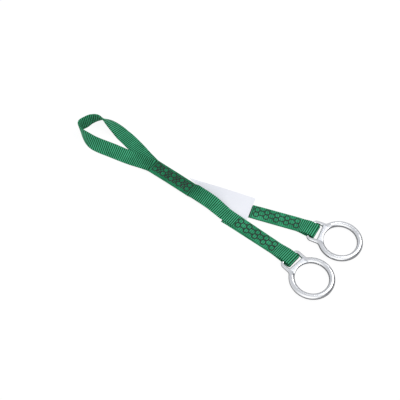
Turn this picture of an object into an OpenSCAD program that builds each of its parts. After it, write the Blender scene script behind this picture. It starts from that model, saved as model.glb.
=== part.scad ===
// Y-shaped webbing sling: one length of flat webbing folded into an open eye, sewn
// through both plies, and parted into two legs. Each leg is sewn back on itself
// round the bar of a forged ring that has its own webbing slot. A blank label is
// caught in the seam where the legs part.
//
// The sling lies flat on the floor: +X runs from the eye to the rings and +Z is up.
// It is laid out from the middle of the sewn block and moved at the end, so that the
// origin is on the floor under the centre of the whole sling.

/* [Webbing] */
// Width of the webbing
web_w = 22.5; // [20:0.5:24]
// Thickness of one ply
web_t = 2; // [1.6:0.1:2.2]
// Size of the rounded edge of the webbing
selvedge = 0.5; // [0.3:0.1:0.7]
// Space between two plies that are sewn together
ply_gap = 0.3; // [0.3:0.05:0.5]
// Sideways slip of the middle block's upper ply, towards the lower leg
top_slip = 2; // [0:0.5:2.5]
// Sideways slip of the middle block's lower ply, towards the upper leg
bottom_slip = 1; // [0:0.5:1.5]

/* [Stitching] */
// Length of each sewn pattern
stitch_l = 74; // [64:1:78]
// Width of each sewn pattern
stitch_w = 18.5; // [16:0.5:19]
// Loops along each row of a pattern
stitch_loops = 5; // [3:1:6]
// Width of a line of thread
thread_w = 1; // [0.8:0.1:1.4]
// How far the thread stands out of the webbing
thread_h = 0.4; // [0.3:0.05:0.6]
// Plain webbing between a pattern and the end of its sewn block
stitch_end = 1; // [1:0.5:4]

/* [Rings] */
// Diameter of the hole in each ring
ring_hole = 50.8; // [46:0.2:54]
// Diameter of the round stock of each ring
ring_stock = 9.2; // [8.8:0.1:10]
// Depth of the flat land trimmed round the inside of the hole
ring_land = 0.2; // [0.2:0.05:0.4]
// Distance from the hole's centre to the middle of the webbing bar
bar_reach = 47; // [44:0.5:50]
// Diameter of the webbing bar
bar_d = 5.2; // [5:0.1:5.6]
// Clearance between the bar and the webbing round it
bar_gap = 0.2; // [0.2:0.05:0.4]
// Space between each arm and the edge of the webbing
arm_gap = 1.75; // [1.5:0.25:3]
// Diameter of the arms beside the slot
arm_d = 6; // [5.5:0.25:7]
// Radius of the corners between the arms and the bar
corner_r = 4.5; // [4:0.25:5]
// Radius of the waist where each arm flows into the ring
waist_r = 12; // [9:0.5:15]
// Width of the bridge between the hole and the slot
bridge_w = 7.5; // [5:0.5:8]
// Thickness of the bridge
bridge_t = 5; // [4:0.25:5.5]

/* [Eye] */
// Distance from the end of the middle block to the turn of the eye
eye_l = 144; // [136:1:152]
// Distance between the two strands of the eye, along their middles
eye_w = 48; // [44:1:54]

/* [Lower leg] */
// Single webbing from the middle block to the leg's sewn part
lower_leg_l = 70; // [60:1:80]
// Sideways shift of the sewn part from the block's line
lower_leg_y = -3.6; // [-6:0.2:0]
// Direction of the sewn part
lower_lap_dir = -1.2; // [-2:0.1:1]
// Free tail of webbing before the sewn pattern
lower_tail = 20; // [10:1:24]
// Sideways slip of the free tail's end
lower_tail_slip = 2.6; // [2.2:0.1:3.2]
// Distance from the end of the sewn part to the bar
lower_fold_l = 24; // [18:0.5:28]
// Direction of the fold round the bar
lower_fold_dir = -5; // [-8:0.5:-4]
// Direction of the ring
lower_ring_dir = -10; // [-12:0.5:-6]

/* [Upper leg] */
// Single webbing from the middle block to the leg's sewn part, along the block's line
upper_leg_l = 98; // [92:1:106]
// Sideways shift of the sewn part from the block's line
upper_leg_y = 25.4; // [22:0.2:28]
// Direction of the sewn part
upper_lap_dir = 19; // [17:0.5:21]
// Free tail of webbing before the sewn pattern
upper_tail = 2; // [2:0.5:8]
// Sideways slip of the free tail's end
upper_tail_slip = 0.6; // [0:0.1:2]
// Distance from the end of the sewn part to the bar
upper_fold_l = 18; // [16.5:0.5:24]
// Direction of the fold round the bar
upper_fold_dir = 6; // [3:0.5:14]
// Direction of the ring
upper_ring_dir = 12.5; // [9:0.5:15]
// Slack in both folds, past the bar
fold_slack = 5.2; // [3:0.2:6]

/* [Label] */
// Thickness of the label
label_t = 0.3; // [0.2:0.05:0.3]
// Width of the label
label_w = 41; // [38:0.5:42]
// Length of the label's long edge
label_l = 116; // [100:1:116]
// Direction of the label
label_dir = 17; // [16.5:0.5:18]
// Reach of the label past the middle of the upper leg
label_side = 24.5; // [22:0.5:25]
// Plain webbing between the label's end and the upper leg's flex line
label_gap = 3; // [0:0.5:4]
// Reach of the caught part of the label under the lower leg, from the middle block
label_tuck = 60; // [40:1:62]

/* [Hidden] */
$fn = 64;

green = [0.17, 0.52, 0.36];
black = [0.12, 0.12, 0.13];
steel = [0.80, 0.81, 0.83];
white = [0.93, 0.93, 0.95];

cut = 1;            // how far a cutter or a buried end runs past what it meets
flex_gap = 0.3;     // running gap at each flex line of the webbing
tail_gap = 1.7;     // room for a tail to swing past its flex line
mitre = 0.9;        // share of a mitre's length that the sewn part runs into the fold
sides = 16;         // sides of the forged arms

// Heights of the two plies, and of the pair
web_r = web_t / 2;
low_z = thread_h + web_r;
high_z = low_z + web_t + ply_gap;
pair_z = (low_z + high_z) / 2;
pair_r = (high_z - low_z) / 2 + web_r;

// Middle block, centred on the layout's origin
block_end = stitch_l / 2 + stitch_end;
top_y = -top_slip;
bottom_y = bottom_slip;

// Ring, about the centre of its hole, with the slot towards -X
hole_r = ring_hole / 2;
stock_r = ring_stock / 2;
ring_r = hole_r + stock_r - ring_land;
arm_r = arm_d / 2;
bar_r = bar_d / 2;
arm_y = web_w / 2 + arm_gap + arm_r;
slot_edge = hole_r + bridge_w;
waist_x = -sqrt(pow(ring_r + waist_r, 2) - pow(arm_y + waist_r, 2));
waist_dir = atan2(arm_y + waist_r, waist_x);
ring_turn = waist_dir + 1.5;

// Fold of webbing round the bar
fold_r = bar_r + bar_gap + web_t;
ring_z = max(fold_r, stock_r);

// Layout of the two legs
function heading(dir) = [cos(dir), sin(dir)];
lower_flex = [block_end + lower_leg_l, lower_leg_y];
lower_lap_l = tail_gap + lower_tail + stitch_l + stitch_end;
lower_lap_end = lower_flex + lower_lap_l * heading(lower_lap_dir);
lower_bar = lower_lap_end + lower_fold_l * heading(lower_fold_dir);
lower_ring_at = lower_bar + bar_reach * heading(lower_ring_dir);
upper_flex = [block_end + upper_leg_l, upper_leg_y];
upper_lap_l = tail_gap + upper_tail + stitch_l + stitch_end;
upper_lap_end = upper_flex + upper_lap_l * heading(upper_lap_dir);
upper_bar = upper_lap_end + upper_fold_l * heading(upper_fold_dir);
upper_ring_at = upper_bar + bar_reach * heading(upper_ring_dir);

// Route of a single run of webbing: places along it, the height of its lower edge over
// the floor, and its roll about its own length, 0 flat and 90 standing on its edge. The
// eye's places are shares of its length and width. A leg's are shares of its length and
// of its sideways shift.
eye_start = block_end + pair_r + flex_gap;
leg_start = block_end + web_r + flex_gap;
leg_z = high_z - web_r;
function eye_place(p) = [-block_end - p[0] * eye_l, p[1] * eye_w, p[2], p[3]];
function leg_place(p, leg_l, from_y, to_y) =
    [block_end + p[0] * leg_l, from_y + p[1] * (to_y - from_y), p[2], p[3]];
eye_route = concat(
    [[-eye_start, bottom_y, thread_h, 0]],
    [for (p = [
        [0.153, 0.092, thread_h / 2, 0],
        [0.326, 0.238, 0, 0],
        [0.528, 0.354, 0, 0],
        [0.674, 0.396, 0, 18],
        [0.806, 0.404, 0, 47],
        [0.889, 0.292, 0, 82],
        [0.953, 0.125, 0, 106],
        [0.994, -0.083, 0, 122],
        [0.997, -0.346, 0, 114],
        [0.903, -0.525, 0, 88],
        [0.792, -0.604, 0, 64],
        [0.681, -0.583, 0, 46],
        [0.486, -0.425, 0, 28],
        [0.278, -0.252, 2 * thread_h, 10],
        [0.139, -0.133, leg_z, 0]
    ]) eye_place(p)],
    [[-eye_start, top_y, leg_z, 0]]
);
lower_leg_route = concat(
    [[leg_start, top_y, leg_z, 0]],
    [for (p = [
        [0.114, -0.15, leg_z + ply_gap, 6],
        [0.257, -0.25, leg_z + ply_gap, 15],
        [0.4, -0.25, leg_z + ply_gap, 19],
        [0.6, -0.1, leg_z + ply_gap, 15],
        [0.829, 0.55, leg_z + ply_gap / 2, 4]
    ]) leg_place(p, lower_leg_l, top_y, lower_leg_y)],
    [concat(lower_flex - (web_r + flex_gap) * heading(lower_lap_dir), [leg_z, 0])]
);
upper_leg_route = concat(
    [[leg_start, bottom_y, thread_h, 0]],
    [for (p = [
        [0.168, 0.008, thread_h, 0],
        [0.316, 0.092, thread_h, 0],
        [0.484, 0.315, thread_h, 0],
        [0.695, 0.597, thread_h, 0]
    ]) leg_place(p, upper_leg_l, bottom_y, upper_leg_y)],
    [concat(upper_flex - (web_r + flex_gap) * heading(upper_lap_dir), [thread_h, 0])]
);

function unit(v) = v / norm(v);
function place(p) = [p[0], p[1], p[2]];

// Point at t between b and c on the smooth curve through a, b, c and d
function between(a, b, c, d, t) = b + t / 2 * (c - a
    + t * (2 * a - 5 * b + 4 * c - d + t * (3 * b - a - 3 * c + d)));

// Route with steps points for each stretch between its hand-set points
function smooth(route, steps) = let (last = len(route) - 1) [
    for (i = [0:last - 1], k = [0:steps - 1]) between(
        route[max(i - 1, 0)], route[i], route[i + 1], route[min(i + 2, last)], k / steps),
    route[last]
];

// Middle of the webbing, from the height of its lower edge and its roll
function lifted(p) = [p[0], p[1],
    p[2] + web_w / 2 * abs(sin(p[3])) + web_r * abs(cos(p[3])), p[3]];

// Outline across the webbing, with its selvedges rounded off
web_outline = let (w = web_w / 2, s = selvedge) [
    [w - s, -web_r], [w, s - web_r], [w, web_r - s], [w - s, web_r],
    [s - w, web_r], [-w, web_r - s], [-w, s - web_r], [s - w, -web_r]
];

// Outline set square to the route at middle, rolled about it
function web_section(middle, along, roll) = let (
    t = unit(along),
    left = unit([-t[1], t[0], 0]),
    up = cross(t, left),
    across = cos(roll) * left + sin(roll) * up,
    out = cross(t, across)
) [for (p = web_outline) middle + p[0] * across + p[1] * out];

// Sections of a run of webbing whose ends face start_dir and end_dir
function web_run(route, steps, start_dir, end_dir) = let (
    path = [for (p = smooth(route, steps)) lifted(p)],
    last = len(path) - 1
) [for (i = [0:last]) web_section(place(path[i]),
    i == 0 ? concat(heading(start_dir), [0]) : i == last ? concat(heading(end_dir), [0])
        : place(path[i + 1]) - place(path[i - 1]), path[i][3])];

// Closed solid through a row of sections with the same number of points
module skin(sections) {
    n = len(sections[0]);
    last = len(sections) - 1;
    polyhedron(
        points = [for (s = sections) each s],
        faces = concat(
            [[for (k = [0:n - 1]) k]],
            [[for (k = [n - 1:-1:0]) last * n + k]],
            [for (i = [0:last - 1], k = [0:n - 1])
                [i * n + k, (i + 1) * n + k, (i + 1) * n + (k + 1) % n]],
            [for (i = [0:last - 1], k = [0:n - 1])
                [i * n + k, (i + 1) * n + (k + 1) % n, i * n + (k + 1) % n]]
        ),
        convexity = 6
    );
}

eye_run = web_run(eye_route, 5, 180, 0);

// Size of the whole layout on the floor, and the move to its centre
ring_out = ring_r + stock_r;
x_min = min([for (s = eye_run) for (p = s) p[0]]);
x_max = max(lower_ring_at[0], upper_ring_at[0]) + ring_out;
y_min = lower_ring_at[1] - ring_out;
y_max = upper_ring_at[1] + ring_out;
centre = [(x_min + x_max) / 2, (y_min + y_max) / 2];

module on_floor() {
    translate([-centre[0], -centre[1], 0]) children();
}

// Side view given in X and Z, made into a solid across the webbing
module across_web() {
    translate([0, web_w / 2, 0]) rotate([90, 0, 0]) linear_extrude(web_w) children();
}

// Side view of a block ply with a rounded end at each flex line. The pair turns about
// one line at the eye, and each ply about its own line at the legs.
module ply_side(ply_z) {
    translate([-block_end, ply_z - web_r]) square([2 * block_end, web_t]);
    translate([block_end, ply_z]) circle(web_r);
    intersection() {
        translate([-block_end, pair_z]) circle(pair_r);
        translate([-block_end - pair_r, ply_z - web_r]) square([pair_r + cut, web_t]);
    }
}

// Points along the middle of the webbing round a fold, in side view. It starts before
// the fold's own pivot at the end of the sewn part, flat over lead to both sides of it.
fold_steps = 8;
function eased(t) = (1 - cos(180 * t)) / 2;
function strand(lead, run, from_z, to_z) = concat([[-lead, from_z]], [
    for (k = [0:fold_steps]) let (t = k / fold_steps)
        [lead + (run - lead) * t, from_z + (to_z - from_z) * eased(t)]
]);
function fold_line(fold_l, lead) = let (
    turn_r = fold_r - web_r,
    nose = fold_l + fold_slack,
    low = strand(lead, fold_l - fold_r, low_z, ring_z - turn_r),
    high = strand(lead, fold_l - fold_r, high_z, ring_z + turn_r),
    last = len(high) - 1
) concat(
    low,
    [for (a = [-90:15:90]) [nose + turn_r * cos(a), ring_z + turn_r * sin(a)]],
    [for (k = [last:-1:0]) high[k]]
);

// Line thickened by r to each side
module thick_line(line, r) {
    last = len(line) - 1;
    normals = [for (i = [0:last]) i == 0 ? [0, 1] : i == last ? [0, -1]
        : let (t = unit(line[i + 1] - line[i - 1])) [-t[1], t[0]]];
    polygon(concat(
        [for (i = [0:last]) line[i] + r * normals[i]],
        [for (i = [last:-1:0]) line[i] - r * normals[i]]
    ));
}

// Webbing sewn back on itself and folded round a bar. Its through ply starts with a
// rounded end at the flex line, and its tail lies on the other side. The fold turns
// sideways at the end of the sewn part, where the two meet in a mitre.
module lap(flex, lap_dir, lap_l, tail_slip, fold_dir, fold_l, through_z, tail_z) {
    lead = web_w / 2 * tan(abs(lap_dir - fold_dir) / 2);
    half_w = web_w / 2;
    translate([flex[0], flex[1], 0]) rotate(lap_dir) {
        across_web() {
            translate([0, through_z]) circle(web_r);
            translate([0, through_z - web_r]) square([lap_l + mitre * lead, web_t]);
        }
        translate([0, 0, tail_z - web_r]) linear_extrude(web_t) polygon([
            [tail_gap, -half_w - tail_slip], [lap_l, -half_w], [lap_l + mitre * lead, -half_w],
            [lap_l + mitre * lead, half_w], [lap_l, half_w], [tail_gap, half_w - tail_slip]
        ]);
        translate([lap_l, 0, 0]) rotate(fold_dir - lap_dir)
            across_web() thick_line(fold_line(fold_l, lead), web_r);
    }
}

// Sewn pattern: two rows of loops that meet along the middle, tied by short links
loop_r = (stitch_w + thread_w) / 4;
row_y = (stitch_w - thread_w) / 4;
loop_pitch = (stitch_l - 2 * loop_r) / (stitch_loops - 1);
module stitch_pattern() {
    for (side = [-1, 1]) translate([0, side * row_y]) {
        for (i = [0:stitch_loops - 1]) translate([loop_r - stitch_l / 2 + i * loop_pitch, 0])
            difference() {
                circle(loop_r, $fn = 32);
                circle(loop_r - thread_w, $fn = 32);
            }
        for (i = [0:stitch_loops - 2])
            translate([2 * loop_r - stitch_l / 2 + i * loop_pitch - thread_w / 2, -thread_w / 2])
                square([loop_pitch - 2 * loop_r + thread_w, thread_w]);
    }
}

// The pattern as it shows on both faces of a sewn block
module stitching() {
    linear_extrude(thread_h) stitch_pattern();
    translate([0, 0, high_z + web_r]) linear_extrude(thread_h) stitch_pattern();
}

module lap_stitching(flex, lap_dir, lap_l) {
    translate([flex[0], flex[1], 0]) rotate(lap_dir)
        translate([lap_l - stitch_end - stitch_l / 2, 0, 0]) stitching();
}

// Round section of the forging at p, square to its direction
function bow_section(p, dir, r) = [for (k = [0:sides - 1]) let (a = 360 * k / sides)
    [p[0] - r * cos(a) * sin(dir), p[1] + r * cos(a) * cos(dir), r * sin(a)]];

// One arm: out of the ring's stock, round the waist, along the slot and round the
// corner to the bar, growing thinner all the way
waist_steps = 7;
root_r = ring_r - hole_r - 0.5;     // radius at which an arm leaves the ring, clear of the hole
root_out = 0.25;                    // how far out of the ring's middle it leaves
root_turn = 10;                     // how far back inside the ring it starts
function arm_sections() = let (
    waist = [waist_x, arm_y + waist_r],
    corner = [-bar_reach + corner_r, arm_y - corner_r],
    start = waist_dir - 180
) concat(
    [bow_section((ring_r + 2 * root_out) * heading(waist_dir - root_turn), waist_dir + 90 - root_turn,
        root_r - root_out)],
    [for (k = [0:waist_steps]) let (t = k / waist_steps, a = start + t * (-90 - start))
        bow_section(waist + (waist_r - root_out * (1 - t)) * heading(a), a - 90,
            root_r + (arm_r - root_r) * eased(t))],
    [for (a = [90:15:180]) bow_section(corner + corner_r * heading(a), a + 90,
        arm_r + (bar_r + 0.25 - arm_r) * (a - 90) / 90)]
);

module arm() {
    skin(arm_sections());
}

module ring() {
    difference() {
        union() {
            rotate(-ring_turn) rotate_extrude(angle = 2 * ring_turn)
                translate([ring_r, 0]) circle(stock_r);
            arm();
            mirror([0, 1, 0]) arm();
            translate([-bar_reach, arm_y - corner_r + cut / 2, 0]) rotate([90, 0, 0])
                cylinder(h = 2 * (arm_y - corner_r) + cut, r = bar_r);
            linear_extrude(bridge_t, center = true)
                translate([-slot_edge, -arm_y]) square([slot_edge - hole_r / 2, 2 * arm_y]);
        }
        cylinder(h = 2 * ring_stock, r = hole_r, center = true, $fn = 128);
    }
}

module ring_on(at, dir) {
    translate([at[0], at[1], ring_z]) rotate(dir) ring();
}

// Label, laid out from the end of its right edge on the upper leg. The flap lifts along
// a crease beside the lower leg. The rest is caught between the plies of the middle
// block and lies on under that leg.
crease_dir = -1;         // direction of the crease
crease_y = web_w / 2 + 0.2;
crease_start = [block_end - web_w, crease_y];
label_at = upper_flex - (web_r + flex_gap + label_gap) * heading(label_dir);
tab_in = 8;              // how far the caught part reaches into the middle block
tab_y = web_w / 2 - 2;
module label_sheet() {
    color(white) on_floor() translate([0, 0, low_z + web_r]) linear_extrude(label_t) children();
}
// All that lies to the left of the crease, or to its right at a distance of gap
module past_crease(side, gap) {
    translate(crease_start) rotate(crease_dir)
        translate([-label_l, side > 0 ? 0 : -label_w - gap]) square([3 * label_l, label_w]);
}

module eye_webbing() {
    color(green) on_floor() skin(eye_run);
}

module block_top_ply() {
    color(green) on_floor() translate([0, top_y, 0]) across_web() ply_side(high_z);
}

module block_bottom_ply() {
    color(green) on_floor() translate([0, bottom_y, 0]) across_web() ply_side(low_z);
}

module block_stitching() {
    color(black) on_floor() translate([0, (top_y + bottom_y) / 2, 0]) stitching();
}

module lower_leg_webbing() {
    color(green) on_floor() skin(web_run(lower_leg_route, 4, 0, lower_lap_dir));
}

module lower_lap_webbing() {
    color(green) on_floor()
        lap(lower_flex, lower_lap_dir, lower_lap_l, lower_tail_slip, lower_fold_dir, lower_fold_l,
            high_z, low_z);
}

module lower_lap_stitching() {
    color(black) on_floor() lap_stitching(lower_flex, lower_lap_dir, lower_lap_l);
}

module lower_ring() {
    color(steel) on_floor() ring_on(lower_ring_at, lower_ring_dir);
}

module upper_leg_webbing() {
    color(green) on_floor() skin(web_run(upper_leg_route, 4, 0, upper_lap_dir));
}

module upper_lap_webbing() {
    color(green) on_floor()
        lap(upper_flex, upper_lap_dir, upper_lap_l, upper_tail_slip, upper_fold_dir, upper_fold_l,
            low_z, high_z);
}

module upper_lap_stitching() {
    color(black) on_floor() lap_stitching(upper_flex, upper_lap_dir, upper_lap_l);
}

module upper_ring() {
    color(steel) on_floor() ring_on(upper_ring_at, upper_ring_dir);
}

module label_tab() {
    label_sheet() intersection() {
        past_crease(-1, flex_gap);
        translate([block_end - tab_in, -tab_y]) square([label_tuck + tab_in, tab_y + label_w]);
    }
}

module label_flap() {
    label_sheet() intersection() {
        past_crease(1, 0);
        translate(label_at) rotate(label_dir)
            translate([-label_l, label_side - label_w]) square([label_l, label_w]);
    }
}

eye_webbing();
block_top_ply();
block_bottom_ply();
block_stitching();
lower_leg_webbing();
lower_lap_webbing();
lower_lap_stitching();
lower_ring();
upper_leg_webbing();
upper_lap_webbing();
upper_lap_stitching();
upper_ring();
label_tab();
label_flap();
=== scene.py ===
import math
import random

import bpy
from mathutils import Matrix, Vector


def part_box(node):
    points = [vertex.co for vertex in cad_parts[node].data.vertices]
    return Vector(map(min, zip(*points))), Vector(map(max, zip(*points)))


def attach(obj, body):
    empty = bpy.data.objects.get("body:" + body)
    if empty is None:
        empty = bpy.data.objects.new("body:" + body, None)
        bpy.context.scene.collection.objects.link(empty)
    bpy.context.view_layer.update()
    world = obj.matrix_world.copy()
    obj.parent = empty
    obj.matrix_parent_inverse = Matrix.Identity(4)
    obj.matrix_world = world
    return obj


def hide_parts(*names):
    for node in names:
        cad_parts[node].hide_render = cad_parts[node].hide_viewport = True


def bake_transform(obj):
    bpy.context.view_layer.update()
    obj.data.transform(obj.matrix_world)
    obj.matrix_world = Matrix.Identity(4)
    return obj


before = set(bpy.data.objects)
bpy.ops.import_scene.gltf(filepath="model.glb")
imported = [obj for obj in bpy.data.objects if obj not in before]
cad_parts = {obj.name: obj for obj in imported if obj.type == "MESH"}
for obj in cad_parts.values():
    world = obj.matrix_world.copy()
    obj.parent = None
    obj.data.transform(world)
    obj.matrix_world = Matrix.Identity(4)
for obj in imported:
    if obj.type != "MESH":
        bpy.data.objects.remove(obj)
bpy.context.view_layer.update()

# Sizes in millimetres, laid out from the middle of the sewn block. +X runs to the rings.
MM = 0.001

WEB_W = 22.5
WEB_T = 2
SELVEDGE = 0.6
LOW_Z = 1.4
HIGH_Z = 3.7
TOP_Y = -2
BOTTOM_Y = 1
RIB_PITCH = 3.2
RIB_RISE = 0.3
# how far the colour at a tail's cut end is painted darker, as shade
YARN_PITCH = 1.4
END_SHADE_L = 1.6
# the webbing's width against WEB_W, where it is sewn and where it is free
SEWN_SIZE = 1.03
LOOSE_SIZE = 1.04
# the underside of each of the block's plies
LOW_EDGE = LOW_Z - WEB_T / 2
HIGH_EDGE = HIGH_Z - WEB_T / 2
# how far the plies have slipped sideways at the block's middle and at its eye end
MIDDLE_SLIP = 0.2
LOW_SLIP = 0.6
HIGH_SLIP = 1
# each leg is one strip up to here and a second strip from here to its tail
SEAM_X = 75
# how far from the block's middle the webbing's colour is darkened, as painted shade
BLOCK_SHADE_TO = 80
BLOCK_SHADE_FADE = 45

STITCH_L = 74
STITCH_W = 18.5
LOOPS = 5
THREAD_W = 1.7
STITCH_STEP = 2.4
SEWN_FADE = 3
BLOCK_END = 38
EYE_START = 40.45
LEG_START = 39.3

HOLE_R = 25.4
STOCK_R = 4.6
BAR_REACH = 47
BAR_R = 2.6
ARM_R = 3
ARM_Y = WEB_W / 2 + 1.75 + ARM_R
CORNER_R = 4.5
WAIST_R = 12
SLOT_EDGE = HOLE_R + 7.5
BRIDGE_T = 5
RING_Z = 4.8
FOLD_R = BAR_R + 0.2 + WEB_T
FOLD_SLACK = 5.2
# from a leg's flex line to its tail's end, and from the thread to the lap's end
TAIL_GAP = 1.7
LAP_MARGIN = 1
# half the stretch over which a lap turns into its fold
TURN_L = 7.0
# between a leg's sewn and free runs, at both ends of its single ply
RUN_GAP = 1.3
# a lap's width grows over this length from its flex line
SPREAD_OVER = 14
RING_VOXEL = 0.4

# the deepest of the webbing's greens is painted shade in the rib grooves, and the palest is
# painted light on the rib crests
GREEN_GROOVE_SHADE = (0.001, 0.03, 0.01)
GREEN = (0.008, 0.17, 0.07)
GREEN_CREST_LIGHT = (0.085, 0.53, 0.28)
# painted shade at a tail's cut end
GREEN_END_SHADE = (0.004, 0.03, 0.014)

LABEL_SIDE = 24.5
LABEL_W = 41
LABEL_L = 116
LABEL_T = 0.3
LABEL_Z = LOW_Z + WEB_T / 2 + LABEL_T / 2
LABEL_DIR = 17
# from the upper leg's flex line to the label's end
LABEL_END = 0.4


def heading(degrees):
    a = math.radians(degrees)
    return Vector((math.cos(a), math.sin(a), 0))


def leftward(degrees):
    return heading(degrees + 90)


class Leg:
    """Where one leg's sewn part, fold and ring lie. Lengths count from its flex line.

    The through ply comes from the block at one height. The tail is sewn back to it at
    the other, slipped sideways. The webbing's width grows by spread along the lap, and
    pull is how much further than its slack the fold reaches past the bar."""

    def __init__(self, flex, lap_dir, tail, slip, fold_l, fold_dir, ring_dir,
                 through_z, tail_z, pull, spread, flex_from):
        self.flex = Vector((flex[0], flex[1], 0))
        self.lap_dir = lap_dir
        self.lap_l = TAIL_GAP + tail + STITCH_L + LAP_MARGIN
        self.slip = slip
        self.pull = pull
        self.spread = spread
        self.flex_from = flex_from
        self.fold_l = fold_l
        self.fold_dir = fold_dir
        self.ring_dir = ring_dir
        self.through_z = through_z
        self.tail_z = tail_z
        self.lap_end = self.flex + self.lap_l * heading(lap_dir)
        self.bar = self.lap_end + fold_l * heading(fold_dir)
        self.ring = self.bar + BAR_REACH * heading(ring_dir)
        self.sewn = self.flex + (self.lap_l - LAP_MARGIN - STITCH_L / 2) * heading(lap_dir)


LOWER = Leg(
    flex=(108, -4), lap_dir=-1.2, tail=20, slip=2.6, fold_l=24, fold_dir=-5, ring_dir=-10,
    through_z=HIGH_Z, tail_z=LOW_Z, pull=1.2, spread=-0.025, flex_from=-3)
# the upper leg flexes past the label's end, which lies on it
UPPER = Leg(
    flex=(134.6, 24.4), lap_dir=19, tail=3.6, slip=0.6, fold_l=18, fold_dir=6, ring_dir=12.5,
    through_z=LOW_Z, tail_z=HIGH_Z, pull=0, spread=0.025, flex_from=LABEL_END)


# the middle of the block's thread, which ties the laid-out places to the shared frame
SEWN_MIDDLE = Vector((0, (TOP_Y + BOTTOM_Y) / 2, 0))
thread_low, thread_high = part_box("block_stitching")
# the frame's origin, the middle of the whole sling, as laid out
MIDDLE = SEWN_MIDDLE - (thread_low + thread_high) / 2 / MM
MIDDLE.z = 0


def in_frame(p):
    """A laid-out place in the shared frame, in metres."""
    return (p - MIDDLE) * MM


# ---------------------------------------------------------------- helpers

def clear_selection():
    if bpy.context.object and bpy.context.object.mode != "OBJECT":
        bpy.ops.object.mode_set(mode="OBJECT")
    bpy.ops.object.select_all(action="DESELECT")


def only(piece):
    clear_selection()
    piece.select_set(True)
    bpy.context.view_layer.objects.active = piece


def settle(piece):
    """Leave the piece's place in its mesh and its object at the origin."""
    only(piece)
    bpy.ops.object.transform_apply(location=True, rotation=True, scale=True)


def apply_modifier(piece, modifier):
    only(piece)
    bpy.ops.object.modifier_apply(modifier=modifier.name)


def select_edges(piece, wanted):
    """Enter edit mode with only the wanted edges selected; wanted reads an edge's ends."""
    only(piece)
    bpy.ops.object.mode_set(mode="EDIT")
    bpy.ops.mesh.select_mode(type="EDGE")
    bpy.ops.mesh.select_all(action="DESELECT")
    bpy.ops.object.mode_set(mode="OBJECT")
    mesh = piece.data
    for edge in mesh.edges:
        a, b = (mesh.vertices[i].co for i in edge.vertices)
        edge.select = wanted(a, b)
    bpy.ops.object.mode_set(mode="EDIT")


def leave_edit():
    bpy.ops.object.mode_set(mode="OBJECT")


def along_x(a, b):
    return abs(a.x - b.x) > 10 * max(abs(a.y - b.y), abs(a.z - b.z), 1e-6)


def along_y(a, b):
    return abs(a.y - b.y) > 10 * max(abs(a.x - b.x), abs(a.z - b.z), 1e-6)


def give(piece, name, material):
    piece.name = name
    piece.data.name = name
    piece.data.materials.clear()
    piece.data.materials.append(material)


# ---------------------------------------------------------------- camera

def add_camera():
    bpy.ops.object.camera_add(location=(0.4023, -0.5548, 1.0473))
    camera = bpy.context.object
    camera.name = "camera"
    look = Vector((-0.0007, -0.0295, 0)) - camera.location
    camera.rotation_euler = look.to_track_quat("-Z", "Y").to_euler()
    camera.data.lens = 71
    camera.data.sensor_width = 36
    camera.data.clip_end = 20
    bpy.context.scene.camera = camera


# ---------------------------------------------------------------- routes

class Route:
    """Stations that a long piece follows: place, sideways direction, roll and a size factor."""

    def __init__(self, stations):
        self.stations = stations
        self.far = [0.0]
        for a, b in zip(stations, stations[1:]):
            self.far.append(self.far[-1] + (b[0] - a[0]).length)
        self.length = self.far[-1]

    def at(self, s):
        """The station at a length s along the route."""
        s = min(max(s, 0.0), self.length)
        low, high = 0, len(self.far) - 1
        while high - low > 1:
            mid = (low + high) // 2
            if self.far[mid] <= s:
                low = mid
            else:
                high = mid
        a, b = self.stations[low], self.stations[high]
        t = (s - self.far[low]) / max(self.far[high] - self.far[low], 1e-9)
        return tuple(x + (y - x) * t for x, y in zip(a, b))

    def frame(self, s, reach=0.6):
        """The place at s, the directions across and out of the piece there, and its size."""
        place, side, roll, size = self.at(s)
        along = (self.at(s + reach)[0] - self.at(s - reach)[0]).normalized()
        side = (side - side.dot(along) * along).normalized()
        up = along.cross(side)
        a = math.radians(roll)
        across = math.cos(a) * side + math.sin(a) * up
        return place, across, along.cross(across), size


def between(a, b, c, d, t):
    """A smooth way from b to c, with a before them and d after."""
    return b + t / 2 * (c - a + t * (2 * a - 5 * b + 4 * c - d + t * (3 * b - a - 3 * c + d)))


def smooth_run(points, steps):
    """Stations of a single ply through given points: x, y, height of the lower edge and
    roll in degrees."""
    last = len(points) - 1
    run = []
    for i in range(last):
        a, b = points[max(i - 1, 0)], points[i]
        c, d = points[i + 1], points[min(i + 2, last)]
        for k in range(steps):
            run.append([between(*q, k / steps) for q in zip(a, b, c, d)])
    run.append(list(points[last]))
    places = []
    for x, y, z, roll in run:
        a = math.radians(roll)
        rise = WEB_W / 2 * abs(math.sin(a)) + WEB_T / 2 * abs(math.cos(a))
        places.append(Vector((x, y, z + rise)))
    stations = []
    for i, place in enumerate(places):
        t = places[min(i + 1, len(places) - 1)] - places[max(i - 1, 0)]
        done = i / (len(places) - 1)
        size = SEWN_SIZE + (LOOSE_SIZE - SEWN_SIZE) * min(1, 5 * done * (1 - done))
        stations.append((place, Vector((-t.y, t.x, 0)).normalized(), run[i][3], size))
    return stations


def straight(a, b, steps=4):
    """Stations of a flat, sewn ply from a to b."""
    side = Vector((a.y - b.y, b.x - a.x, 0)).normalized()
    return [(a + (b - a) * (k / steps), side, 0.0, SEWN_SIZE) for k in range(steps + 1)]


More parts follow.
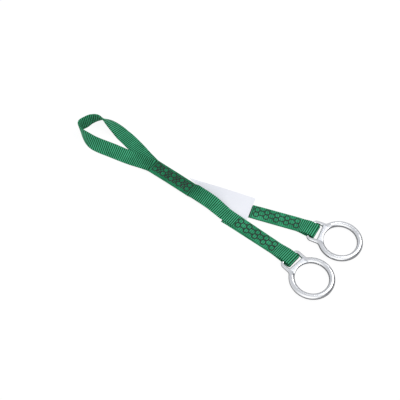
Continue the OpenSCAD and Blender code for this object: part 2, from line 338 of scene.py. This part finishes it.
EYE_POINTS = [
    (-EYE_START, BOTTOM_Y - LOW_SLIP, LOW_EDGE, 0),
    (-60, 4.4, 0.2, -3),
    (-85, 10.4, 0, -6),
    (-114, 16.2, 0, -2),
    (-135, 18.9, 0, 18),
    (-154, 19.2, 0, 43),
    (-166.9, 15.5, 0, 70),
    (-175.2, 6.6, 0, 88),
    (-178.9, -4, 0, 100),
    (-181.4, -16.8, 0, 98),
    (-170.2, -25.4, 0, 91),
    (-152, -28.7, 0, 64),
    (-136, -27.7, 0, 46),
    (-108, -20.1, 0, 28),
    (-78, -12.6, 0.8, 10),
    (-58, -7.6, HIGH_EDGE, 0),
    (-EYE_START, TOP_Y - HIGH_SLIP, HIGH_EDGE, 0),
]
LOWER_POINTS = [
    (36.5, TOP_Y, HIGH_EDGE, 0),
    (LEG_START, TOP_Y, HIGH_EDGE, 4),
    (43, -1.7, HIGH_EDGE + 0.1, 11),
    (48, -1.6, 3, 16),
    (57, -1.7, 3, 17),
    (66, -1.8, 3, 19),
    (80, -1.9, 3, 15),
    (96, -3, 2.9, 4),
]
UPPER_POINTS = [
    (LEG_START, BOTTOM_Y, LOW_EDGE, 0),
    (54.5, 1.2, LOW_EDGE, 0),
    (69, 3.2, LOW_EDGE, 0),
    (85.4, 8.7, LOW_EDGE, 0),
    (106, 15.6, LOW_EDGE, 0),
]


def eye_stations():
    """From the block's middle along the lower ply, round the eye and back on the upper."""
    low = straight(Vector((0, BOTTOM_Y - MIDDLE_SLIP, LOW_Z)),
                   Vector((-BLOCK_END, BOTTOM_Y - LOW_SLIP, LOW_Z)))
    high = straight(Vector((-BLOCK_END, TOP_Y - HIGH_SLIP, HIGH_Z)),
                    Vector((0, TOP_Y - MIDDLE_SLIP, HIGH_Z)))
    return low + smooth_run(EYE_POINTS, 12) + high


def leg_stations(leg, points, ply_y, ply_z):
    """From the block's middle along one ply, and on to the leg's flex line."""
    block = straight(Vector((0, ply_y - MIDDLE_SLIP, ply_z)),
                     Vector((points[0][0] - RUN_GAP, ply_y, ply_z)))
    end = leg.flex - RUN_GAP * heading(leg.lap_dir)
    return block + smooth_run(points + [(end.x, end.y, ply_z - WEB_T / 2, 0)], 10)


def eased(t):
    """From 0 to 1 with a soft start and end."""
    return (1 - math.cos(math.pi * min(max(t, 0), 1))) / 2


def lap_stations(leg):
    """Through ply, fold round the ring's bar, and the tail sewn back under or over it."""
    turn_r = FOLD_R - WEB_T / 2
    nose = leg.fold_l + FOLD_SLACK + leg.pull
    sign = 1 if leg.through_z > leg.tail_z else -1
    bend = TURN_L
    stations = []

    def put(run, side_step, z):
        # run counts along the leg from its flex line, and turns with the fold
        past = run - leg.lap_l
        share = eased((past + bend) / (2 * bend))
        turn = leg.lap_dir + (leg.fold_dir - leg.lap_dir) * share
        if past <= -bend:
            place = leg.flex + run * heading(leg.lap_dir)
        elif past >= bend:
            place = leg.lap_end + past * heading(leg.fold_dir)
        else:
            t = (past + bend) / (2 * bend)
            a = leg.lap_end - bend * heading(leg.lap_dir)
            c = leg.lap_end + bend * heading(leg.fold_dir)
            place = (1 - t) ** 2 * a + 2 * t * (1 - t) * leg.lap_end + t * t * c
        side = leftward(turn)
        place = place + side_step * side
        size = 1 + leg.spread * eased(run / SPREAD_OVER)
        stations.append((Vector((place.x, place.y, z)), side, 0.0, size))

    steps = 40
    for k in range(steps):
        put(leg.lap_l * k / steps, 0, leg.through_z)
    reach = leg.fold_l - FOLD_R
    through_out = RING_Z + sign * turn_r
    tail_out = RING_Z - sign * turn_r
    for k in range(13):
        t = k / 12
        lift = 0.5 * eased(t) + 0.5 * t
        put(leg.lap_l + reach * t, 0, leg.through_z + (through_out - leg.through_z) * lift)
    for k in range(1, 4):
        put(leg.lap_l + reach + (nose - reach) * k / 4, 0, through_out)
    for k in range(13):
        a = math.radians(90 - 15 * k)
        put(leg.lap_l + nose + turn_r * math.cos(a), 0, RING_Z + sign * turn_r * math.sin(a))
    for k in range(3, 0, -1):
        put(leg.lap_l + reach + (nose - reach) * k / 4, 0, tail_out)
    for k in range(12, -1, -1):
        t = k / 12
        lift = 0.5 * eased(t) + 0.5 * t
        put(leg.lap_l + reach * t, 0, leg.tail_z + (tail_out - leg.tail_z) * lift)
    for k in range(steps - 1, -1, -1):
        run = TAIL_GAP + (leg.lap_l - TAIL_GAP) * k / steps
        put(run, -leg.slip * (1 - k / steps), leg.tail_z)
    return stations


def ring_stations():
    """Once round the ring: hole, waist, arm, corner and bar, with the slot towards -X."""
    # the stock reaches 0.2 mm past the hole's radius, and smoothing draws it back a little
    ring_r = HOLE_R + STOCK_R - 0.2
    waist_x = -math.sqrt((ring_r + WAIST_R) ** 2 - (ARM_Y + WAIST_R) ** 2)
    waist_dir = math.degrees(math.atan2(ARM_Y + WAIST_R, waist_x))
    up = Vector((0, 0, 1))
    half = []
    for k in range(97):
        half.append((ring_r * heading(waist_dir * k / 96), STOCK_R))
    waist = Vector((waist_x, ARM_Y + WAIST_R, 0))
    start = waist_dir - 180
    for k in range(1, 25):
        t = k / 24
        place = waist + WAIST_R * heading(start + t * (-90 - start))
        half.append((place, STOCK_R + (ARM_R - STOCK_R) * eased(t)))
    corner = Vector((CORNER_R - BAR_REACH, ARM_Y - CORNER_R, 0))
    for k in range(25):
        t = k / 24
        half.append((corner + CORNER_R * heading(90 + 90 * t), ARM_R + (BAR_R - ARM_R) * t))
    half.append((Vector((-BAR_REACH, 0, 0)), BAR_R))
    whole = half + [(Vector((p.x, -p.y, 0)), r) for p, r in reversed(half[1:-1])] + [half[0]]
    return [(p, up, 0.0, r) for p, r in whole]


# ---------------------------------------------------------------- webbing

def webbing_strip(length, segments, columns=8):
    """A straight piece of webbing along +X, with soft selvedges."""
    clear_selection()
    bpy.ops.mesh.primitive_cube_add(size=1, location=(length / 2, 0, 0))
    strip = bpy.context.object
    strip.scale = (length, WEB_W, WEB_T)
    settle(strip)
    select_edges(strip, along_x)
    bpy.ops.mesh.bevel(offset=SELVEDGE, segments=4, affect="EDGES")
    leave_edit()
    select_edges(strip, lambda a, b: along_y(a, b) and (a - b).length > 1)
    bpy.ops.mesh.subdivide(number_cuts=columns - 1)
    leave_edit()
    first = 10
    for cuts in (first - 1, max(round(segments / first) - 1, 1)):
        select_edges(strip, along_x)
        bpy.ops.mesh.subdivide(number_cuts=cuts)
        leave_edit()
    return strip


def lay_along(piece, route, lay_from=0.0):
    """Bend a straight piece so that it follows the route. Its flat place stays in "lay"."""
    lay = piece.data.attributes.new("lay", "FLOAT_VECTOR", "POINT")
    frames = {}
    for vertex in piece.data.vertices:
        x, y, z = vertex.co
        key = round(x, 4)
        if key not in frames:
            frames[key] = route.frame(x)
        place, across, out, size = frames[key]
        lay.data[vertex.index].vector = ((x + lay_from) * MM, y * MM, z * MM)
        vertex.co = in_frame(place + size * (y * across + z * out))
    piece.data.update()


def sewn_share(place):
    """Whether a place along a strap is sewn, from 0 to 1: the thread pulls its ribs flat."""
    share = 0.0
    for middle, turn in (
        (Vector((0, 0, 0)), 0), (LOWER.sewn, LOWER.lap_dir), (UPPER.sewn, UPPER.lap_dir)
    ):
        off = place - middle
        if abs(off.dot(leftward(turn))) < WEB_W / 2:
            inside = (STITCH_L + SEWN_FADE) / 2 - abs(off.dot(heading(turn)))
            share = max(share, inside / SEWN_FADE)
    return min(share, 1.0)


def raise_ribs(strip, lay_from, route):
    """Stand the ribs of the weave out of both faces and out of the selvedges."""
    sewn = strip.data.attributes.new("sewn", "FLOAT", "POINT")
    block_shade = strip.data.attributes.new("block_shade", "FLOAT", "POINT")
    for vertex in strip.data.vertices:
        x, y, z = vertex.co
        place = route.at(x)[0]
        flat = sewn_share(place)
        sewn.data[vertex.index].value = flat
        # painted shade: the colour darkens towards the block's middle, less where the webbing
        # is sewn
        dark = eased((BLOCK_SHADE_TO - abs(place.x)) / BLOCK_SHADE_FADE)
        block_shade.data[vertex.index].value = dark * (1 - 0.35 * flat)
        rib = abs(math.cos(math.pi * (x + lay_from) / RIB_PITCH)) - 0.6
        rib *= RIB_RISE * (1 - 0.6 * flat)
        if abs(z) > 0.3:
            vertex.co.z += math.copysign(rib, z)
        if abs(y) > WEB_W / 2 - SELVEDGE:
            vertex.co.y += math.copysign(rib, y)


def webbing(name, stations, lay_from, tail=False):
    """One strip of webbing; a tail gets painted shade at its cut end. Gives its length as well.
    """
    route = Route(stations)
    strip = webbing_strip(route.length, round(route.length / (RIB_PITCH / 4)))
    raise_ribs(strip, lay_from, route)
    lay_along(strip, route, lay_from)
    end_shade = strip.data.attributes.new("end_shade", "FLOAT", "POINT")
    # painted shade: a tail's colour darkens over its last stretch to its cut end
    if tail:
        end = (route.length + lay_from) * MM
        lay = strip.data.attributes["lay"]
        for i, mark in enumerate(end_shade.data):
            mark.value = max(0.0, 1 - (end - lay.data[i].vector.x) / (END_SHADE_L * MM))
    only(strip)
    bpy.ops.object.shade_smooth_by_angle(angle=math.radians(50))
    give(strip, name, WEBBING)
    return strip, route.length


def add_straps():
    """The eye with both plies of the block, and each leg in two strips."""
    eye, _ = webbing("eye_strap", eye_stations(), 0)
    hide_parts("eye_webbing", "block_top_ply", "block_bottom_ply")
    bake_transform(eye)
    for leg, points, name, ply_y, ply_z in (
        (LOWER, LOWER_POINTS, "lower", TOP_Y, HIGH_Z),
        (UPPER, UPPER_POINTS, "upper", BOTTOM_Y, LOW_Z),
    ):
        way = leg_stations(leg, points, ply_y, ply_z)
        near = [s for s in way if s[0].x < SEAM_X]
        far = [s for s in way if s[0].x > SEAM_X]
        a, b = near[-1], far[0]
        t = (SEAM_X - a[0].x) / (b[0].x - a[0].x)
        joint = tuple(p + (q - p) * t for p, q in zip(a, b))
        first, length = webbing(f"{name}_leg_strap", near + [joint], 0)
        rest = [joint] + far + lap_stations(leg)
        second, _ = webbing(f"{name}_end_strap", rest, length, True)
        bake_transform(first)
        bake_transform(second)
        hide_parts(f"{name}_leg_webbing")
        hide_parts(f"{name}_lap_webbing")


# ---------------------------------------------------------------- stitching

def stitch_places(passes):
    """Middle and direction of each stitch of the sewn pattern, laid out flat. A second
    pass puts smaller loops between the first ones."""
    loop_r = (STITCH_W + THREAD_W) / 4 - THREAD_W / 2
    row_y = (STITCH_W - THREAD_W) / 4
    pitch = (STITCH_L - 2 * loop_r - THREAD_W) / (LOOPS - 1)
    first = -(LOOPS - 1) / 2 * pitch
    small_loop = 9
    places = []
    for row in (-1, 1):
        for i in range(LOOPS):
            middle = Vector((first + i * pitch, row * row_y, 0))
            count = round(2 * math.pi * loop_r / STITCH_STEP)
            for k in range(count):
                a = 360 * (k + 0.5) / count
                places.append((middle + loop_r * heading(a), a + 90))
            if i < LOOPS - 1:
                for k in (-1, 0, 1):
                    places.append((middle + Vector((pitch / 2 + STITCH_STEP * k, 0, 0)), 0))
                if passes == 2:
                    middle = middle + Vector((pitch / 2, 0, 0))
                    for k in range(small_loop):
                        a = 360 / small_loop * k
                        places.append((middle + 0.8 * loop_r * heading(a), a + 90))
    return places


def one_stitch():
    """One rounded stitch along +X, a little longer than the step to the next."""
    clear_selection()
    bpy.ops.mesh.primitive_cylinder_add(
        vertices=8, radius=0.5, depth=STITCH_STEP + 0.5, end_fill_type="NGON",
        rotation=(0, math.pi / 2, 0))
    stitch = bpy.context.object
    stitch.scale = (1, THREAD_W, 0.85)
    settle(stitch)
    select_edges(stitch, lambda a, b: abs(a.x - b.x) < 0.01)
    bpy.ops.mesh.bevel(offset=0.32, segments=2, affect="EDGES")
    leave_edit()
    bpy.ops.object.shade_smooth()
    return stitch


def sew(name, body, node, middle, turn, passes=1):
    """The thread of one sewn pattern, on both faces of the two plies."""
    pattern = one_stitch()
    copies = []
    spread = random.Random(name)
    for place, along in stitch_places(passes):
        for z in (HIGH_Z + WEB_T / 2, LOW_Z - WEB_T / 2):
            mesh = pattern.data.copy()
            jitter = spread.uniform(-3, 3)
            spot = middle + Matrix.Rotation(math.radians(turn), 3, "Z") @ place
            spot.z = z
            mesh.transform(
                Matrix.Scale(MM, 4)
                @ Matrix.Translation(spot - MIDDLE)
                @ Matrix.Rotation(math.radians(turn + along + jitter), 4, "Z")
            )
            copy = bpy.data.objects.new("stitch", mesh)
            bpy.context.collection.objects.link(copy)
            copies.append(copy)
    bpy.data.objects.remove(pattern)
    clear_selection()
    for copy in copies:
        copy.select_set(True)
    bpy.context.view_layer.objects.active = copies[0]
    bpy.ops.object.join()
    seam = bpy.context.object
    give(seam, name, THREAD)
    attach(seam, body)
    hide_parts(node)


# ---------------------------------------------------------------- rings

def add_ring(name, leg):
    """One forging: the round stock all the way round, joined to the bridge plate."""
    route = Route(ring_stations())
    clear_selection()
    bpy.ops.mesh.primitive_cylinder_add(
        vertices=64, radius=1, depth=route.length, end_fill_type="NOTHING",
        location=(route.length / 2, 0, 0), rotation=(0, math.pi / 2, 0))
    bow = bpy.context.object
    settle(bow)
    for cuts in (9, 49):
        select_edges(bow, along_x)
        bpy.ops.mesh.subdivide(number_cuts=cuts)
        leave_edit()
    lay_along(bow, route)
    only(bow)
    bpy.ops.object.mode_set(mode="EDIT")
    bpy.ops.mesh.select_all(action="SELECT")
    bpy.ops.mesh.remove_doubles(threshold=0.00002)
    bpy.ops.mesh.normals_make_consistent(inside=False)
    leave_edit()

    bpy.ops.mesh.primitive_cube_add(size=1)
    plate = bpy.context.object
    wide = SLOT_EDGE - HOLE_R * math.cos(math.asin((ARM_Y - 0.5) / HOLE_R))
    plate.scale = (wide, 2 * ARM_Y - 1, BRIDGE_T)
    plate.location = (-SLOT_EDGE + wide / 2, 0, 0)
    settle(plate)
    bpy.ops.mesh.primitive_cylinder_add(vertices=96, radius=HOLE_R, depth=4 * STOCK_R)
    drill = bpy.context.object
    settle(drill)
    cut = plate.modifiers.new("hole", "BOOLEAN")
    cut.operation = "DIFFERENCE"
    cut.object = drill
    apply_modifier(plate, cut)
    bpy.data.objects.remove(drill)
    soften = plate.modifiers.new("soften", "BEVEL")
    soften.width = 0.9
    soften.segments = 4
    soften.limit_method = "ANGLE"
    apply_modifier(plate, soften)
    plate.data.transform(Matrix.Scale(MM, 4) @ Matrix.Translation(-MIDDLE))

    only(plate)
    bow.select_set(True)
    bpy.context.view_layer.objects.active = bow
    bpy.ops.object.join()
    forging = bow.modifiers.new("forging", "REMESH")
    forging.mode = "VOXEL"
    forging.voxel_size = RING_VOXEL * MM
    apply_modifier(bow, forging)
    ease = bow.modifiers.new("ease", "SMOOTH")
    ease.factor = 0.5
    ease.iterations = 60
    apply_modifier(bow, ease)

    # "recess" marks the bridge's two faces, which lie deeper than the polished stock
    recess = bow.data.attributes.new("recess", "FLOAT", "POINT")
    for mark, vertex in zip(recess.data, bow.data.vertices):
        p = vertex.co / MM + MIDDLE
        deep = 1 - (abs(p.z) - BRIDGE_T / 2 - 0.1) / 0.6
        inside = p.x < -15 and abs(p.y) < ARM_Y - 1 and -SLOT_EDGE - 0.4 < p.x
        mark.value = min(max(deep, 0), 1) if inside else 0
    at = (leg.ring - MIDDLE) * MM
    at.z = RING_Z * MM
    bow.data.transform(
        Matrix.Translation(at) @ Matrix.Rotation(math.radians(leg.ring_dir), 4, "Z")
        @ Matrix.Translation(MIDDLE * MM))
    only(bow)
    bpy.ops.object.shade_smooth_by_angle(angle=math.radians(40))
    give(bow, f"{name}_ring_forging", RING_METAL)
    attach(bow, f"{name}_ring_body")
    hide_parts(f"{name}_ring")


# ---------------------------------------------------------------- label

def add_label():
    """One thin sheet: caught under the upper ply, and lying free on the upper leg."""
    clear_selection()
    bpy.ops.mesh.primitive_grid_add(x_subdivisions=58, y_subdivisions=20, size=1)
    label = bpy.context.object
    along, side = heading(LABEL_DIR), leftward(LABEL_DIR)
    corner = UPPER.flex + LABEL_END * along
    centre = corner - LABEL_L / 2 * along + (LABEL_SIDE - LABEL_W / 2) * side
    label.scale = (LABEL_L, LABEL_W, 1)
    label.rotation_euler = (0, 0, math.radians(LABEL_DIR))
    label.location = (centre.x, centre.y, LABEL_Z)
    settle(label)
    only(label)
    bpy.ops.object.mode_set(mode="EDIT")
    # cut off what would stick out of the near side of the block, and reach too far into it
    for co, no in (((0, -9, 0), (0, -1, 0)), ((12, 0, 0), (-1, 0, 0))):
        bpy.ops.mesh.select_all(action="SELECT")
        bpy.ops.mesh.bisect(plane_co=co, plane_no=no, clear_outer=True)
    # and the wedge beside the block's end, between two cuts
    wedge_y, wedge_x, wedge_top, slope = 8.8, 52, 12.9, 0.17
    for co, no in (
        ((0, wedge_y, 0), (0, 1, 0)), ((BLOCK_END, wedge_top, 0), (0.168, 0.986, 0))
    ):
        bpy.ops.mesh.select_all(action="SELECT")
        bpy.ops.mesh.bisect(plane_co=co, plane_no=no)
    leave_edit()
    only(label)
    for face in label.data.polygons:
        c = face.center
        face.select = c.x < wedge_x and wedge_y < c.y < wedge_top - slope * (c.x - BLOCK_END)
    bpy.ops.object.mode_set(mode="EDIT")
    bpy.ops.mesh.select_mode(type="FACE")
    bpy.ops.mesh.delete(type="FACE")
    bpy.ops.mesh.select_mode(type="VERT")
    leave_edit()
    # the far edge lifts a little off the leg, most at the middle of its length
    lift, lift_w, lift_l = 1.1, 9, 100
    for vertex in label.data.vertices:
        p = vertex.co
        off = (p - corner).dot(side) - LABEL_SIDE + lift_w
        back = (corner - p).dot(along)
        wave = math.sin(math.pi * min(max(back / lift_l, 0), 1))
        p.z += lift * wave * eased(off / lift_w)
        p.x, p.y, p.z = in_frame(p)
    thick = label.modifiers.new("cloth", "SOLIDIFY")
    thick.thickness = LABEL_T * MM
    thick.offset = 0
    apply_modifier(label, thick)
    only(label)
    bpy.ops.object.shade_smooth_by_angle(angle=math.radians(40))
    give(label, "label_sheet", LABEL)
    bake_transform(label)
    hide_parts("label_flap", "label_tab")


# ---------------------------------------------------------------- finishes

def new_material(name):
    material = bpy.data.materials.new(name)
    material.use_nodes = True
    nodes = material.node_tree.nodes
    return material, nodes, material.node_tree.links, nodes["Principled BSDF"]


def maths(nodes, links, operation, *values):
    """A Math node; each value is a number or another node's output."""
    node = nodes.new("ShaderNodeMath")
    node.operation = operation
    for socket, value in zip(node.inputs, values):
        if isinstance(value, (int, float)):
            socket.default_value = value
        else:
            links.new(value, socket)
    return node.outputs[0]


def noise(nodes, links, vector, scale, detail):
    node = nodes.new("ShaderNodeTexNoise")
    node.inputs["Scale"].default_value = scale
    node.inputs["Detail"].default_value = detail
    links.new(vector, node.inputs["Vector"])
    return node.outputs["Fac"]


def ramp(nodes, links, value, *stops):
    """A colour ramp over a value; each stop is a position and a colour."""
    node = nodes.new("ShaderNodeValToRGB")
    while len(node.color_ramp.elements) < len(stops):
        node.color_ramp.elements.new(0.5)
    for element, (place, colour) in zip(node.color_ramp.elements, stops):
        element.position = place
        element.color = (*colour, 1)
    links.new(value, node.inputs[0])
    return node.outputs[0]


def mark(nodes, name):
    """A mark that a piece's points carry, by its attribute's name."""
    node = nodes.new("ShaderNodeAttribute")
    node.attribute_name = name
    return node


def blended(nodes, links, share, first, second):
    """One colour where share is 0, the other where it is 1."""
    mix = nodes.new("ShaderNodeMix")
    mix.data_type = "RGBA"
    links.new(share, mix.inputs["Factor"])
    for socket, colour in ((mix.inputs["A"], first), (mix.inputs["B"], second)):
        if isinstance(colour, tuple):
            socket.default_value = (*colour, 1)
        else:
            links.new(colour, socket)
    return mix.outputs["Result"]


def raise_surface(nodes, links, shader, height, strength, depth):
    """Fine relief: depth is in millimetres."""
    bump = nodes.new("ShaderNodeBump")
    bump.inputs["Strength"].default_value = strength
    bump.inputs["Distance"].default_value = depth * MM
    links.new(height, bump.inputs["Height"])
    links.new(bump.outputs[0], shader.inputs["Normal"])


def webbing_finish():
    """Green ribbed webbing: ribs across, two yarns to a rib in staggered rows. Its colour
    carries painted shade in the grooves, near the block and at a tail's end, and painted light
    on the rib crests.
    """
    material, nodes, links, shader = new_material("green_webbing")
    lay = mark(nodes, "lay").outputs["Vector"]
    split = nodes.new("ShaderNodeSeparateXYZ")
    links.new(lay, split.inputs[0])

    def sums(operation, *values):
        return maths(nodes, links, operation, *values)

    row = sums("MULTIPLY", split.outputs["X"], 1 / (RIB_PITCH * MM))
    rib = sums("ABSOLUTE", sums("COSINE", sums("MULTIPLY", row, math.pi)))
    rib = sums("POWER", rib, 1.5)
    shift = sums("MULTIPLY", sums("FLOOR", sums("ADD", row, 0.5)), 0.5)
    yarn = sums("ADD", sums("MULTIPLY", split.outputs["Y"], 1 / (YARN_PITCH * MM)), shift)
    yarn = sums("ABSOLUTE", sums("SINE", sums("MULTIPLY", yarn, math.pi)))
    height = sums("MULTIPLY_ADD", sums("MULTIPLY", rib, yarn), 0.3, sums("MULTIPLY", rib, 0.7))
    # the thread pulls the ribs flat, so the grooves between them close up
    flat = sums("MULTIPLY", mark(nodes, "sewn").outputs["Fac"], 0.8)
    filled = sums("MULTIPLY_ADD", sums("SUBTRACT", 0.66, height), flat, height)

    fibre = noise(nodes, links, lay, 2600, 3)
    patch = noise(nodes, links, lay, 60, 2)
    # the colour follows the ribs' height, with painted shade in the grooves and painted light
    # on the crests; fibre and patch noise vary the tone
    tone = sums("MULTIPLY_ADD", filled, 0.8, sums("MULTIPLY", fibre, 0.22))
    tone = sums("ADD", tone, sums("MULTIPLY", sums("SUBTRACT", patch, 0.5), 0.25))
    # painted shade near the block darkens the tone
    tone = sums("MULTIPLY_ADD", mark(nodes, "block_shade").outputs["Fac"], -0.14, tone)
    colour = ramp(nodes, links, tone, (0.24, GREEN_GROOVE_SHADE), (0.56, GREEN), (0.86, GREEN_CREST_LIGHT))
    # painted shade at a tail's cut end
    end_shade_share = mark(nodes, "end_shade").outputs["Fac"]
    links.new(blended(nodes, links, end_shade_share, colour, GREEN_END_SHADE), shader.inputs["Base Color"])
    raise_surface(nodes, links, shader, sums("MULTIPLY_ADD", fibre, 0.12, filled), 0.6, 0.35)
    shader.inputs["Roughness"].default_value = 0.7
    shader.inputs["Specular IOR Level"].default_value = 0.15
    shader.inputs["Sheen Weight"].default_value = 0.04
    shader.inputs["Sheen Roughness"].default_value = 0.5
    return material


def thread_finish():
    """Black bonded thread with fine fibres."""
    material, nodes, links, shader = new_material("black_thread")
    place = nodes.new("ShaderNodeTexCoord").outputs["Object"]
    fibre = noise(nodes, links, place, 3000, 2)
    colour = ramp(nodes, links, fibre,
                  (0.3, (0.008, 0.009, 0.009)), (0.8, (0.03, 0.034, 0.033)))
    links.new(colour, shader.inputs["Base Color"])
    raise_surface(nodes, links, shader, fibre, 0.4, 0.1)
    shader.inputs["Roughness"].default_value = 0.6
    shader.inputs["Specular IOR Level"].default_value = 0.3
    return material


def metal_finish():
    """Bright polished forging, left satin and a little pitted in the recessed bridge."""
    material, nodes, links, shader = new_material("polished_metal")
    place = nodes.new("ShaderNodeTexCoord").outputs["Object"]
    deep = mark(nodes, "recess").outputs["Fac"]
    grain = noise(nodes, links, place, 500, 2)
    broad = noise(nodes, links, place, 90, 2)
    bright = ramp(nodes, links, broad, (0.3, (0.8, 0.81, 0.83)), (0.7, (0.85, 0.86, 0.875)))
    satin = ramp(nodes, links, grain, (0.3, (0.6, 0.615, 0.645)), (0.7, (0.63, 0.645, 0.67)))
    links.new(blended(nodes, links, deep, bright, satin), shader.inputs["Base Color"])
    polish = maths(nodes, links, "MULTIPLY_ADD", broad, 0.06, 0.12)
    rough = maths(nodes, links, "MULTIPLY_ADD", deep, 0.2, polish)
    links.new(rough, shader.inputs["Roughness"])
    pits = maths(nodes, links, "MULTIPLY", grain, deep)
    raise_surface(nodes, links, shader, pits, 0.02, 0.1)
    shader.inputs["Metallic"].default_value = 1.0
    return material


def label_finish():
    """Thin white cloth stock with nothing on it: a fine even weave."""
    material, nodes, links, shader = new_material("white_label")
    place = nodes.new("ShaderNodeTexCoord").outputs["Object"]
    fibre = noise(nodes, links, place, 1800, 2)
    cloud = maths(nodes, links, "MULTIPLY", noise(nodes, links, place, 25, 1), 0.6)
    tone = maths(nodes, links, "MULTIPLY_ADD", fibre, 0.4, cloud)
    colour = ramp(nodes, links, tone, (0.3, (0.78, 0.79, 0.845)), (0.7, (0.83, 0.84, 0.885)))
    links.new(colour, shader.inputs["Base Color"])
    raise_surface(nodes, links, shader, fibre, 0.2, 0.08)
    shader.inputs["Roughness"].default_value = 0.65
    return material


# ---------------------------------------------------------------- stage

def add_floor():
    """A pale floor that keeps the shadow, and shows the camera and polished metal white, but
    for a painted dark reflection near the rings.
    """
    clear_selection()
    bpy.ops.mesh.primitive_plane_add(size=40, location=(0, 0, -0.0001))
    floor = bpy.context.object
    floor.name = "floor"
    material, nodes, links, shader = new_material("pale_floor")
    shader.inputs["Base Color"].default_value = (0.9, 0.9, 0.91, 1)
    shader.inputs["Roughness"].default_value = 0.9
    paper = nodes.new("ShaderNodeEmission")
    path = nodes.new("ShaderNodeLightPath")
    seen = path.outputs["Is Camera Ray"]
    direct = maths(nodes, links, "MULTIPLY", seen, 0.87)
    shown = maths(nodes, links, "ADD", path.outputs["Is Glossy Ray"],
                  path.outputs["Is Transmission Ray"])
    shown = maths(nodes, links, "MULTIPLY_ADD", shown, 0.75, direct)
    # painted reflection: near the rings the floor shows dark in their polish only, as painted
    # shade that draws their edges
    ring_shade_spot = nodes.new("ShaderNodeVectorMath")
    ring_shade_spot.operation = "DISTANCE"
    links.new(nodes.new("ShaderNodeTexCoord").outputs["Object"], ring_shade_spot.inputs[0])
    ring_shade_spot.inputs[1].default_value = (0.224, 0.002, 0)
    reach = maths(nodes, links, "MULTIPLY", ring_shade_spot.outputs["Value"], 5)
    glow = ramp(nodes, links, reach, (0.4, (0.05, 0.05, 0.05)), (0.6, (1, 1, 1)))
    to_white = maths(nodes, links, "SUBTRACT", 1.05, glow)
    strength = maths(nodes, links, "MULTIPLY_ADD", seen, to_white, glow)
    links.new(strength, paper.inputs["Strength"])
    mix = nodes.new("ShaderNodeMixShader")
    links.new(shown, mix.inputs[0])
    links.new(shader.outputs[0], mix.inputs[1])
    links.new(paper.outputs[0], mix.inputs[2])
    links.new(mix.outputs[0], nodes["Material Output"].inputs["Surface"])
    floor.data.materials.append(material)


def add_light():
    """A soft studio sky, brighter at the front and dark low down past the rings, and one
    wide lamp."""
    world = bpy.data.worlds.new("studio")
    bpy.context.scene.world = world
    world.use_nodes = True
    nodes, links = world.node_tree.nodes, world.node_tree.links
    sky = nodes.new("ShaderNodeTexCoord").outputs["Generated"]
    split = nodes.new("ShaderNodeSeparateXYZ")
    links.new(sky, split.inputs[0])

    def toward(place):
        """How far a direction of the sky looks towards a place, from -1 to 1."""
        dot = nodes.new("ShaderNodeVectorMath")
        dot.operation = "DOT_PRODUCT"
        links.new(sky, dot.inputs[0])
        dot.inputs[1].default_value = Vector(place).normalized()
        return dot.outputs["Value"]

    front = ramp(nodes, links, toward((0.58, -0.81, 0.35)),
                 (0.0, (0.7, 0.71, 0.735)), (0.45, (0.72, 0.73, 0.75)), (0.9, (1.3, 1.3, 1.3)))
    low = maths(nodes, links, "MULTIPLY_ADD", split.outputs["Z"], -1.0, toward((0.85, 0.5, 0)))
    rise = ramp(nodes, links, low, (0.0, (1, 1, 1)), (0.45, (0.12, 0.12, 0.13)))
    both = nodes.new("ShaderNodeVectorMath")
    both.operation = "MULTIPLY"
    links.new(front, both.inputs[0])
    links.new(rise, both.inputs[1])
    links.new(both.outputs[0], nodes["Background"].inputs["Color"])

    bpy.ops.object.light_add(type="AREA", location=(0.5, 0.8, 1.4))
    key = bpy.context.object
    key.name = "key"
    key.data.size = 0.8
    key.data.energy = 10
    key.rotation_euler = (-key.location).to_track_quat("-Z", "Y").to_euler()


clear_selection()
add_camera()

WEBBING = webbing_finish()
THREAD = thread_finish()
RING_METAL = metal_finish()
LABEL = label_finish()

add_straps()
sew("block_thread", "block", "block_stitching", SEWN_MIDDLE, 0, 2)
sew("lower_lap_thread", "lower_lap", "lower_lap_stitching", LOWER.sewn, LOWER.lap_dir)
sew("upper_lap_thread", "upper_lap", "upper_lap_stitching", UPPER.sewn, UPPER.lap_dir)
add_ring("lower", LOWER)
add_ring("upper", UPPER)
add_label()
add_floor()
add_light()

bpy.context.scene.view_settings.view_transform = "Standard"
